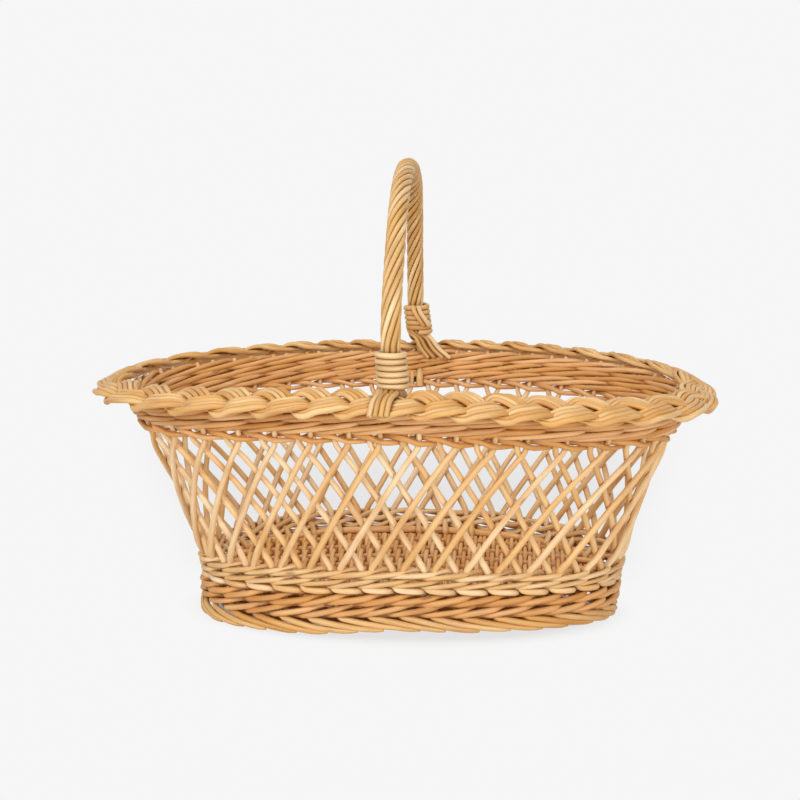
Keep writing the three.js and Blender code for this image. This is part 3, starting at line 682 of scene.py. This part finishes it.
# The border: the stakes' tops and rods put in beside them, plaited four together into three
# strands that lie arched over the wall's top. New rods join at each station, under the last ones.
STRANDS = 3
RODS_A_STRAND = 4
BORDER_ROD_RADIUS = 1.98
BORDER_ROD_PITCH = 3.75  # between the middles of two rods of a strand
BORDER_SWING = 10.4  # from the border's middle out to a strand's outer turn
BORDER_LIFT = 2.5  # how far a strand is lifted or pressed down where two cross
BORDER_REACH = FOOT_FLARE + LATTICE_FLARE + BAND_FLARE + 16.3
BORDER_HEIGHT = WALL_TOP + 5.5
BORDER_DROOP = math.radians(22)
BORDER_ARCH = 80.0  # radius of the arch from its inner to its outer edge
BORDER_INNER = 9.0  # from its middle in to where it rounds down to the wall
BORDER_ROUND = 7.0  # radius of that rounding
BORDER_SHIFT = 1.3  # it lies this much further left than the wall, at both ends
BORDER_PINCH = 2.8  # and stands out this much less at both ends
BORDER_END_SWING = 0.74  # share of its swing that is left at both ends
BORDER_LINGER = 0.28  # how much slower a strand turns at the outer edge than at the inner one
BORDER_LATE = 0.6  # and how far past its outer turn it is slowest, in radians
FRONT_PLACE = 0.75 * STAKES  # the middles of the two sides, where the handle stands
BACK_PLACE = 0.25 * STAKES
BORDER_DIP = 5.0  # how far the handle presses the border's inner edge down in front
DIP_LENGTH = 0.55  # in stake spaces
HIDDEN_START = -0.78  # in stake spaces from its outer turn, where a rod comes in underneath
SHOWN_START = -0.45  # and where the outermost rod's point shows under the border
TIP_LENGTH = 0.4  # in stake spaces, from a rod's point to its full thickness
TIP_START = 0.1  # how much of that is cut off

# White willow that has yellowed in the light
white_border_willow = willow_finish(
    "white_border_willow", "efcb92", "dda85c", "bc7c2e", "8a5526", "a86216", 0.42
)

section_across = np.linspace(-24.0, 24.0, 481)
section_droop = BORDER_DROOP + section_across / BORDER_ARCH
section_droop = section_droop + np.minimum(0.0, section_across + BORDER_INNER) / BORDER_ROUND
section_step = section_across[1] - section_across[0]
section_out = np.cumsum(np.cos(section_droop)) * section_step
section_out = section_out - np.interp(0.0, section_across, section_out)
section_up = -np.cumsum(np.sin(section_droop)) * section_step
section_up = section_up - np.interp(0.0, section_across, section_up)


def border_at(place, across, lift=0.0):
    """A point of the border: place along the wall, distance out from its middle, and above it."""
    along = oval_at(place)[0] / HALF_LENGTH
    droop = np.interp(across, section_across, section_droop)
    out = np.interp(across, section_across, section_out) + lift * np.sin(droop)
    up = np.interp(across, section_across, section_up) + lift * np.cos(droop)
    reach = BORDER_REACH + out - BORDER_SHIFT * along ** 3 - BORDER_PINCH * along ** 4
    pressed = np.exp(-((np.mod(place, STAKES) - FRONT_PLACE) / DIP_LENGTH) ** 2)
    dip = BORDER_DIP * pressed * smooth((8.0 - across) / 16.0)
    return wall(place, BORDER_HEIGHT + up - dip, 0.0, reach)


def plaited(station, number):
    """One rod of a strand whose outer turn is at a station: from under the strand before, in over
    the next one and under the third at the inner edge, then out over it and under the last."""
    start = SHOWN_START if number == RODS_A_STRAND - 1 else HIDDEN_START
    place = np.arange(station + start, station + 2.4, 0.05)
    turned = 2 * math.pi * (place - station) / STRANDS
    swing = turned - BORDER_LINGER * (np.sin(turned - BORDER_LATE) + math.sin(BORDER_LATE))
    at_end = (oval_at(place)[0] / HALF_LENGTH) ** 4
    across = BORDER_SWING * np.cos(swing) * (1.0 - (1.0 - BORDER_END_SWING) * at_end)
    lift = BORDER_LIFT * np.tanh(1.8 * np.sin(2 * turned)) / math.tanh(1.8)
    flat = border_at(place, np.zeros_like(place))
    space = np.linalg.norm(np.gradient(flat, place, axis=0), axis=1)
    outwards = np.gradient(across, place)
    length = np.hypot(space, outwards)
    grown = smooth((place - place[0] + TIP_START) / TIP_LENGTH)
    beside = (number - (RODS_A_STRAND - 1) / 2) * BORDER_ROD_PITCH * (0.4 + 0.6 * grown)
    shifted = place - beside * outwards / length / space
    line = border_at(shifted, across + beside * space / length, lift)
    radius = BORDER_ROD_RADIUS * np.linspace(1.06, 0.94, len(place)) * (0.15 + 0.85 * grown)
    return line, radius * chance.uniform(0.95, 1.05), False


for strand in range(STRANDS):
    rods(
        f"plait_strand_{strand + 1}",
        [
            plaited(station, number)
            for station in range(-strand % STRANDS, STAKES, STRANDS)
            for number in range(RODS_A_STRAND)
        ],
        white_border_willow, [f"border_strand_{strand + 1}"], "pale_willow", stray=0.8,
    )

# The foot: short stakes pushed up beside the others, held by two rows of buff waling, and bent
# down to the right in a rolled border that the basket stands on.
FOOT_TOP = 29.2
FOOT_BORDER_TOP = 12.4
FOOT_ROWS = 2
FOOT_ROD_RADIUS = 2.18
ROLL_RADIUS = 2.2
foot_pitch = (FOOT_TOP - FOOT_BORDER_TOP) / FOOT_ROWS
for row in range(FOOT_ROWS):
    rods(
        f"foot_waling_{row + 1}",
        waled_row(
            FOOT_BORDER_TOP + (row + 0.5) * foot_pitch, foot_pitch, FOOT_ROD_RADIUS, STAKE_RADIUS,
            row + 0.5,
        ),
        buff_weaver_willow, [f"foot_wale_{row + 1}"], "wale_willow",
    )

roll_paths = []
for station in range(STAKES):
    stops = [
        (station, FOOT_TOP - 1.0, 0.0),
        (station, 20.0, 0.0),
        (station + 0.02, 14.6, 0.3),
        (station + 0.14, 11.8, 1.6),
        (station + 0.45, 10.2, 3.4),
        (station + 1.0, 7.6, 4.4),
        (station + 1.6, 5.0, 4.6),
        (station + 2.2, 3.0, 4.0),
        (station + 2.6 + chance.uniform(-0.08, 0.12), 2.2, 3.2),
    ]
    line = eased(stops, 1.8)
    part = np.linspace(0.0, 1.0, len(line))
    taper = np.interp(part, [0.0, 0.93, 1.0], [1.1, 0.94, 0.7])
    radius = ROLL_RADIUS * taper * chance.uniform(0.95, 1.05)
    roll_paths.append((wall(*line.T), radius, False))
rods(
    "rolled_foot_border", roll_paths, white_border_willow, ["foot_border"], "pale_willow", stray=0.8
)

# The handle: eight willow rods wound round a core that is pushed down inside the wall, like the
# strands of a rope. Under the bindings four rods lie over the border and four inside the wall.
BOW_TOP = 350.0
BOW_FOOT = 229.7  # where the bow's curve begins, over the bindings
BOW_HALF_SPAN = 138.0
BOW_SQUARENESS = 2.1  # exponent of the bow: 2 is half an ellipse
BACK_SWAY = 3.8  # how far its back foot stands to the left
FRONT_SWAY = 1.7
CORE_RADIUS = 3.0
ROPE_RODS = 8
ROPE_ROD_RADIUS = 1.85
ROPE_LAY_RADIUS = CORE_RADIUS + ROPE_ROD_RADIUS + 0.4
ROPE_TURNS = 4.5
ROPE_SLOWING = 0.45  # share of its winding that the rope loses right at a binding
SLOWING_LENGTH = 0.06  # over this share of the bow
FRONT, BACK = -1.0, 1.0
BINDINGS = {FRONT: (199.1, 224.9), BACK: (204.3, 229.7)}  # lower and upper edge
X_AXIS = np.array([1.0, 0.0, 0.0])

# White willow with dark grooves: the darkest painted shade of all lies between the rods
handle_willow = willow_finish(
    "handle_willow", "f5d5a0", "dbab62", "b87c32", "8a5526", "663808", 0.40, 0.97
)

bow_angle = np.linspace(0.0, math.pi, 1801)
bow_power = 2 / BOW_SQUARENESS
bow_y = -BOW_HALF_SPAN * np.sign(np.cos(bow_angle)) * np.abs(np.cos(bow_angle)) ** bow_power
bow_z = BOW_FOOT + (BOW_TOP - BOW_FOOT) * np.abs(np.sin(bow_angle)) ** bow_power
bow_run = np.concatenate([[0.0], np.cumsum(np.hypot(np.diff(bow_y), np.diff(bow_z)))])


def bow_at(share):
    """Middle line of the bow from its front foot to its back foot, with its direction."""
    run = share * bow_run[-1]
    x = -FRONT_SWAY * smooth(1.0 - 5.0 * share) - BACK_SWAY * smooth(3.0 * share - 1.8)
    line = np.stack([x, np.interp(run, bow_run, bow_y), np.interp(run, bow_run, bow_z)], -1)
    way = np.gradient(line, axis=0)
    return line, way / np.linalg.norm(way, axis=1, keepdims=True)


# Where the tails end in x. Over the border they are counted from the left at the front, and inside
# the wall from the right. Both fans lean, because the rods keep some of their winding.
OUTER_FAN = (-13.0, -9.2, -5.4, -1.6)
FRONT_INNER_FAN = (12.0, 7.5, -7.0, -11.5)
BACK_INNER_FAN = (26.7, 20.5, 12.9, 7.8)
# Stops over the border: share of the fan, distance out from the border's middle, and above it
OVER_BORDER = ((1.0, 19.0, 2.4), (0.75, 11.0, 6.2), (0.4, 1.0, 6.8), (0.12, -8.0, 6.4))
WALL_INSIDE = (
    HALF_WIDTH + FOOT_FLARE + LATTICE_FLARE + BAND_FLARE - TIP_RADIUS - 2 * BAND_ROD_RADIUS
)


def rope_end(number, side, height):
    """Where a rod lies beside the core in a foot of the handle."""
    angle = (number + 0.5) * 2 * math.pi / ROPE_RODS
    x = -FRONT_SWAY if side == FRONT else -BACK_SWAY
    x -= side * ROPE_LAY_RADIUS * math.cos(angle)
    return [x, side * BOW_HALF_SPAN + ROPE_LAY_RADIUS * math.sin(angle), height]


def tail(number, side):
    """A rod's end, from its tip up through the binding."""
    bottom, top = BINDINGS[side]
    leaving = rope_end(number, side, bottom + 2.0)
    outer = (number >= ROPE_RODS / 2) == (side == FRONT)
    if outer:
        end = OUTER_FAN[number - 4] if side == FRONT else -OUTER_FAN[3 - number]
        place = FRONT_PLACE if side == FRONT else BACK_PLACE
        points = []
        for share, across, lift in OVER_BORDER:
            point = border_at(place, across, lift)[0]
            points.append([leaving[0] + (end - leaving[0]) * share, point[1], point[2]])
    else:
        end = FRONT_INNER_FAN[number] if side == FRONT else BACK_INNER_FAN[number - 4]
        points = []
        # Share of the fan, and height
        for share, height in ((1.0, 184.0), (0.62, 192.0), (0.3, bottom - 2.0)):
            y = side * (WALL_INSIDE - ROPE_ROD_RADIUS - 0.4)
            points.append([leaving[0] + (end - leaving[0]) * share, y, height])
    points += [leaving, rope_end(number, side, top - 4.0)]
    return eased(points, 2.0, (1.0, 1.0, 1.0))


def wound_rod(number):
    """One rod of the rope, from its tip at the front over the bow to its tip at the back."""
    share = np.linspace(0.0, 1.0, 260)
    middle, way = bow_at(share)
    inward = np.cross(way, X_AXIS)
    # The rods are laid steeper close to the bindings
    ends = np.exp(-share / SLOWING_LENGTH) + np.exp((share - 1.0) / SLOWING_LENGTH)
    speed = 1.0 - ROPE_SLOWING * ends
    turned = np.cumsum(speed) - speed[0]
    angle = 2 * math.pi * ((number + 0.5) / ROPE_RODS + ROPE_TURNS * turned / turned[-1])
    rope = middle + ROPE_LAY_RADIUS * (
        X_AXIS * np.cos(angle)[:, None] + inward * np.sin(angle)[:, None]
    )
    line = np.concatenate([tail(number, FRONT), rope, tail(number, BACK)[::-1]])
    radius = ROPE_ROD_RADIUS * np.linspace(1.06, 0.96, len(line)) * chance.uniform(0.97, 1.03)
    return line, radius, False


for pair in range(ROPE_RODS // 2):
    rods(
        f"handle_rope_rods_{pair + 1}", [wound_rod(2 * pair), wound_rod(2 * pair + 1)],
        handle_willow, [f"handle_strand_{pair + 1}"], "handle_willow", sides=12, stray=0.5,
    )

# The core: one thick rod under the rope, whose ends are pushed down beside the stakes in front and
# along the inside of the band at the back, where a short liner stands beside it.
front_core = [
    (7.0, -134.0, 158.0), (7.0, -137.5, 176.0), (6.0, -138.0, 192.0), (2.5, -138.0, 203.0),
    (-FRONT_SWAY, -BOW_HALF_SPAN, 214.0), (-FRONT_SWAY, -BOW_HALF_SPAN, 226.0),
]
back_core = [
    (0.5, 130.0, 160.0), (0.5, 130.5, 168.0), (0.5, 139.0, 175.0), (-0.5, 143.0, 194.0),
    (-BACK_SWAY, BOW_HALF_SPAN, 214.0), (-BACK_SWAY, BOW_HALF_SPAN, 226.0),
]
liner = [(-6.0, 131.0, 160.0), (-6.0, 131.5, 168.0), (-6.0, 140.0, 175.0), (-5.0, 143.0, 190.0)]
core_line = np.concatenate(
    [
        eased(front_core, 2.0, (1.0, 1.0, 1.0)),
        bow_at(np.linspace(0.0, 1.0, 120))[0],
        eased(back_core, 2.0, (1.0, 1.0, 1.0))[::-1],
    ]
)
rods(
    "handle_core_rod",
    [(core_line, CORE_RADIUS, False), (eased(liner, 2.0, (1.0, 1.0, 1.0)), ROPE_ROD_RADIUS, False)],
    handle_willow, ["handle_core"], "handle_willow", sides=12, stray=0.0,
)

# The bindings: one thin rod wound six times round each foot of the handle, level in front. The one
# at the back is made in a paler willow, painted light that lifts it out of its shade, and its two
# ends are laid down over the turns.
BINDING_TURNS = 6.0
BINDING_RADIUS = 2.15
BINDING_LAY = ROPE_LAY_RADIUS + ROPE_ROD_RADIUS + BINDING_RADIUS + 0.1


def binding(side, level, drift):
    """The rod's line. It climbs only after the first `level` share of each turn, and `drift` is
    how far left of the foot's lower end its upper end lies."""
    bottom, top = BINDINGS[side]
    climbs = BINDING_TURNS - 1.0
    turn = np.linspace(0.0, climbs + max(level, 0.5), 240)
    climb = np.floor(turn) + smooth((turn % 1.0 - level) / (1.0 - level))
    height = bottom + BINDING_RADIUS + (top - bottom - 2 * BINDING_RADIUS) * climb / climbs
    angle = 2 * math.pi * (turn + 0.25 - (1.0 + level) / 2)
    x = -drift * climb / climbs + BINDING_LAY * np.cos(angle)
    y = side * BOW_HALF_SPAN + BINDING_LAY * np.sin(angle)
    return np.stack([x, y, height], -1)


rods(
    "front_binding_rod", [(binding(FRONT, 0.6, FRONT_SWAY), BINDING_RADIUS, False)],
    handle_willow, ["handle_binding_front"], "pale_willow", stray=0.8,
)
laid_over = []
for start in (-5.5, -0.5):
    points = [
        (start, BOW_HALF_SPAN - BINDING_LAY - 1.2, BINDINGS[BACK][1] - 0.5),
        (start + 1.5, BOW_HALF_SPAN - BINDING_LAY - 3.6, BINDINGS[BACK][1] - 4.5),
        (start + 6.5, BOW_HALF_SPAN - BINDING_LAY - 3.6, BINDINGS[BACK][1] - 12.5),
        (start + 9.5, BOW_HALF_SPAN - BINDING_LAY - 1.2, BINDINGS[BACK][1] - 17.0),
    ]
    laid_over.append((eased(points, 1.5, (1.0, 1.0, 1.0)), 0.9 * BINDING_RADIUS, False))
# Painted light: the back binding takes the paler weaver willow, to lighten it where it stands in
# shade
rods(
    "back_binding_rod", [(binding(BACK, 0.0, 3.0), BINDING_RADIUS, False), *laid_over],
    pale_weaver_willow, ["handle_binding_back"], "pale_willow", stray=0.8,
)

# The studio: a sheet of pale paper that fades into a plain pale background, with two soft lamps in
# front of the basket and one over it, and a camera where the photograph was taken. The paper's
# own shading shows only close to the foot and behind the basket.
BACKGROUND = "f6f6f6"
AIR_LIGHT = 0.42  # strength of the even light from all round
FLOOR_SIZE = 6.0  # metres
# Painted shade: the paper inside the foot is coloured this brown, for the shade and the willow's
# bounced light there
UNDER_FOOT_SHADE = "b07c4c"  # its tone inside the foot, in the light that willow throws on it
# How much of the paper's shading shows: the rest is plain paleness
SHADE_AT_FOOT = 0.22
SHADE_BEHIND = 0.43
SHADE_LEAN = 0.08  # how far the shaded ground behind leans to the left, by distance
SHADE_WIDENING = 0.24  # and how much wider it grows to each side


def studio_floor():
    """Pale paper, plain wherever the camera looks past the basket's own shadow."""
    finish = bpy.data.materials.new("pale_studio_paper")
    finish.use_nodes = True
    tree = finish.node_tree
    tree.nodes.clear()
    place = node(tree, "ShaderNodeTexCoord")
    # Painted shade: deep inside the foot the paper is coloured brown and shows only its own shading
    oval = node(
        tree, "ShaderNodeVectorMath", operation="MULTIPLY", links={0: place.outputs["Object"]},
        inputs={1: (1 / (HALF_LENGTH * MM), 1 / (HALF_WIDTH * MM), 0.0)},
    )
    from_middle = node(
        tree, "ShaderNodeVectorMath", operation="LENGTH", links={0: oval.outputs[0]}
    )
    part = node(tree, "ShaderNodeSeparateXYZ", {0: oval.outputs[0]})
    part_squared = node(
        tree, "ShaderNodeMath", operation="MULTIPLY",
        links={0: part.outputs["X"], 1: part.outputs["X"]},
    )
    # Light comes in under the hogged sides, a third of the way at their middle
    raised = node(
        tree, "ShaderNodeMath", operation="SUBTRACT", use_clamp=True,
        links={1: part_squared.outputs[0]}, inputs={0: 1.0},
    )
    opening = node(
        tree, "ShaderNodeMath", operation="POWER", links={0: raised.outputs[0]}, inputs={1: 1.5}
    )
    shut_in = node(
        tree, "ShaderNodeMath", operation="MULTIPLY_ADD",
        links={0: opening.outputs[0], 2: from_middle.outputs["Value"]}, inputs={1: 0.32},
    )
    near_edge = node(
        tree, "ShaderNodeMapRange", links={"Value": shut_in.outputs[0]},
        inputs={"From Min": 0.94, "From Max": 1.0, "To Min": 0.0, "To Max": 1.0},
    )
    ground = node(
        tree, "ShaderNodeMix", data_type="RGBA", links={0: near_edge.outputs[0]},
        inputs={6: linear(UNDER_FOOT_SHADE), 7: linear(BACKGROUND)},
    )
    at_foot = node(
        tree, "ShaderNodeMapRange", links={"Value": from_middle.outputs["Value"]},
        inputs={"From Min": 0.92, "From Max": 1.15, "To Min": SHADE_AT_FOOT, "To Max": 0.0},
    )
    # The soft shadow behind the basket widens away from it and is gone a metre back
    spot = node(tree, "ShaderNodeSeparateXYZ", {0: place.outputs["Object"]})
    middle_line = node(
        tree, "ShaderNodeMath", operation="MULTIPLY_ADD",
        links={0: spot.outputs["Y"], 2: spot.outputs["X"]}, inputs={1: SHADE_LEAN},
    )
    off_line = node(
        tree, "ShaderNodeMath", operation="ABSOLUTE", links={0: middle_line.outputs[0]}
    )
    sideways = node(
        tree, "ShaderNodeMath", operation="MULTIPLY_ADD",
        links={0: spot.outputs["Y"], 2: off_line.outputs[0]}, inputs={1: -SHADE_WIDENING},
    )
    across = node(
        tree, "ShaderNodeMapRange", interpolation_type="SMOOTHSTEP",
        links={"Value": sideways.outputs[0]},
        inputs={"From Min": 0.08, "From Max": 0.20, "To Min": SHADE_BEHIND, "To Max": 0.0},
    )
    begins = node(
        tree, "ShaderNodeMapRange", interpolation_type="SMOOTHSTEP",
        links={"Value": spot.outputs["Y"]},
        inputs={"From Min": 0.02, "From Max": 0.2, "To Min": 0.0, "To Max": 1.0},
    )
    ends = node(
        tree, "ShaderNodeMapRange", interpolation_type="SMOOTHSTEP",
        links={"Value": spot.outputs["Y"]},
        inputs={"From Min": 0.45, "From Max": 1.05, "To Min": 1.0, "To Max": 0.0},
    )
    along = node(
        tree, "ShaderNodeMath", operation="MULTIPLY",
        links={0: begins.outputs[0], 1: ends.outputs[0]},
    )
    behind = node(
        tree, "ShaderNodeMath", operation="MULTIPLY",
        links={0: across.outputs[0], 1: along.outputs[0]},
    )
    shaded = node(
        tree, "ShaderNodeMath", operation="MAXIMUM",
        links={0: at_foot.outputs[0], 1: behind.outputs[0]},
    )
    unshaded = node(
        tree, "ShaderNodeMath", operation="SUBTRACT", links={1: shaded.outputs[0]}, inputs={0: 1.0}
    )
    ray = node(tree, "ShaderNodeLightPath")
    lit = node(
        tree, "ShaderNodeMath", operation="MULTIPLY",
        links={0: unshaded.outputs[0], 1: near_edge.outputs[0]},
    )
    seen = node(
        tree, "ShaderNodeMath", operation="MULTIPLY",
        links={0: lit.outputs[0], 1: ray.outputs["Is Camera Ray"]},
    )
    paper = node(tree, "ShaderNodeBsdfDiffuse", {"Color": ground.outputs[2]})
    glow = node(tree, "ShaderNodeEmission", inputs={"Color": linear(BACKGROUND), "Strength": 1.0})
    mixed = node(
        tree, "ShaderNodeMixShader",
        links={0: seen.outputs[0], 1: paper.outputs[0], 2: glow.outputs[0]},
    )
    node(tree, "ShaderNodeOutputMaterial", {"Surface": mixed.outputs[0]})
    return finish


sheet = bpy.data.meshes.new("studio_floor")
half = FLOOR_SIZE / 2
sheet.from_pydata(
    [(-half, -half, 0), (half, -half, 0), (half, half, 0), (-half, half, 0)], [], [(0, 1, 2, 3)]
)
sheet.materials.append(studio_floor())
floor = bpy.data.objects.new("studio_floor", sheet)
bpy.context.scene.collection.objects.link(floor)

world = bpy.data.worlds.new("studio_air")
bpy.context.scene.world = world
world.use_nodes = True
air = world.node_tree
air.nodes.clear()
ray = node(air, "ShaderNodeLightPath")
seen = node(
    air, "ShaderNodeMath", operation="MAXIMUM",
    links={0: ray.outputs["Is Camera Ray"], 1: ray.outputs["Is Glossy Ray"]},
)
dim = node(air, "ShaderNodeBackground", inputs={"Color": linear("ffffff"), "Strength": AIR_LIGHT})
plain = node(air, "ShaderNodeBackground", inputs={"Color": linear(BACKGROUND), "Strength": 1.0})
both = node(
    air, "ShaderNodeMixShader", links={0: seen.outputs[0], 1: dim.outputs[0], 2: plain.outputs[0]}
)
node(air, "ShaderNodeOutputWorld", {"Surface": both.outputs[0]})

# Each lamp's name, place and width in metres, and power in watts
LAMPS = (
    ("key_lamp", (-1.35, -2.3, 1.5), 1.25, 32.0),
    ("front_lamp", (1.2, -2.6, 0.6), 1.6, 33.0),
    ("top_lamp", (0.1, -0.2, 2.2), 1.3, 9.5),
)
AIM = np.array([0.0, -0.05, 0.12])  # where all of them point
for name, place, size, watts in LAMPS:
    light = bpy.data.lights.new(name, "AREA")
    light.shape = "DISK"
    light.size = size
    light.energy = watts
    lamp = bpy.data.objects.new(name, light)
    lamp.location = place
    bpy.context.scene.collection.objects.link(lamp)
    toward = AIM - np.array(place)
    flat = math.hypot(toward[0], toward[1])
    lamp.rotation_euler = (math.atan2(flat, -toward[2]), 0.0, math.atan2(-toward[0], toward[1]))

CAMERA_PLACE = (0.0897, -1.1967, 0.3656)  # metres
CAMERA_DOWN = 9.34  # degrees below level
CAMERA_LEFT = 4.584  # degrees
CAMERA_LENS = 69.4  # millimetres, on a sensor 36 mm wide
eye = bpy.data.cameras.new("photo_camera")
eye.sensor_width = 36.0
eye.lens = CAMERA_LENS
camera = bpy.data.objects.new("photo_camera", eye)
camera.location = CAMERA_PLACE
camera.rotation_euler = (math.radians(90 - CAMERA_DOWN), 0.0, math.radians(CAMERA_LEFT))
bpy.context.scene.collection.objects.link(camera)
bpy.context.scene.camera = camera
bpy.context.scene.view_settings.view_transform = "Standard"
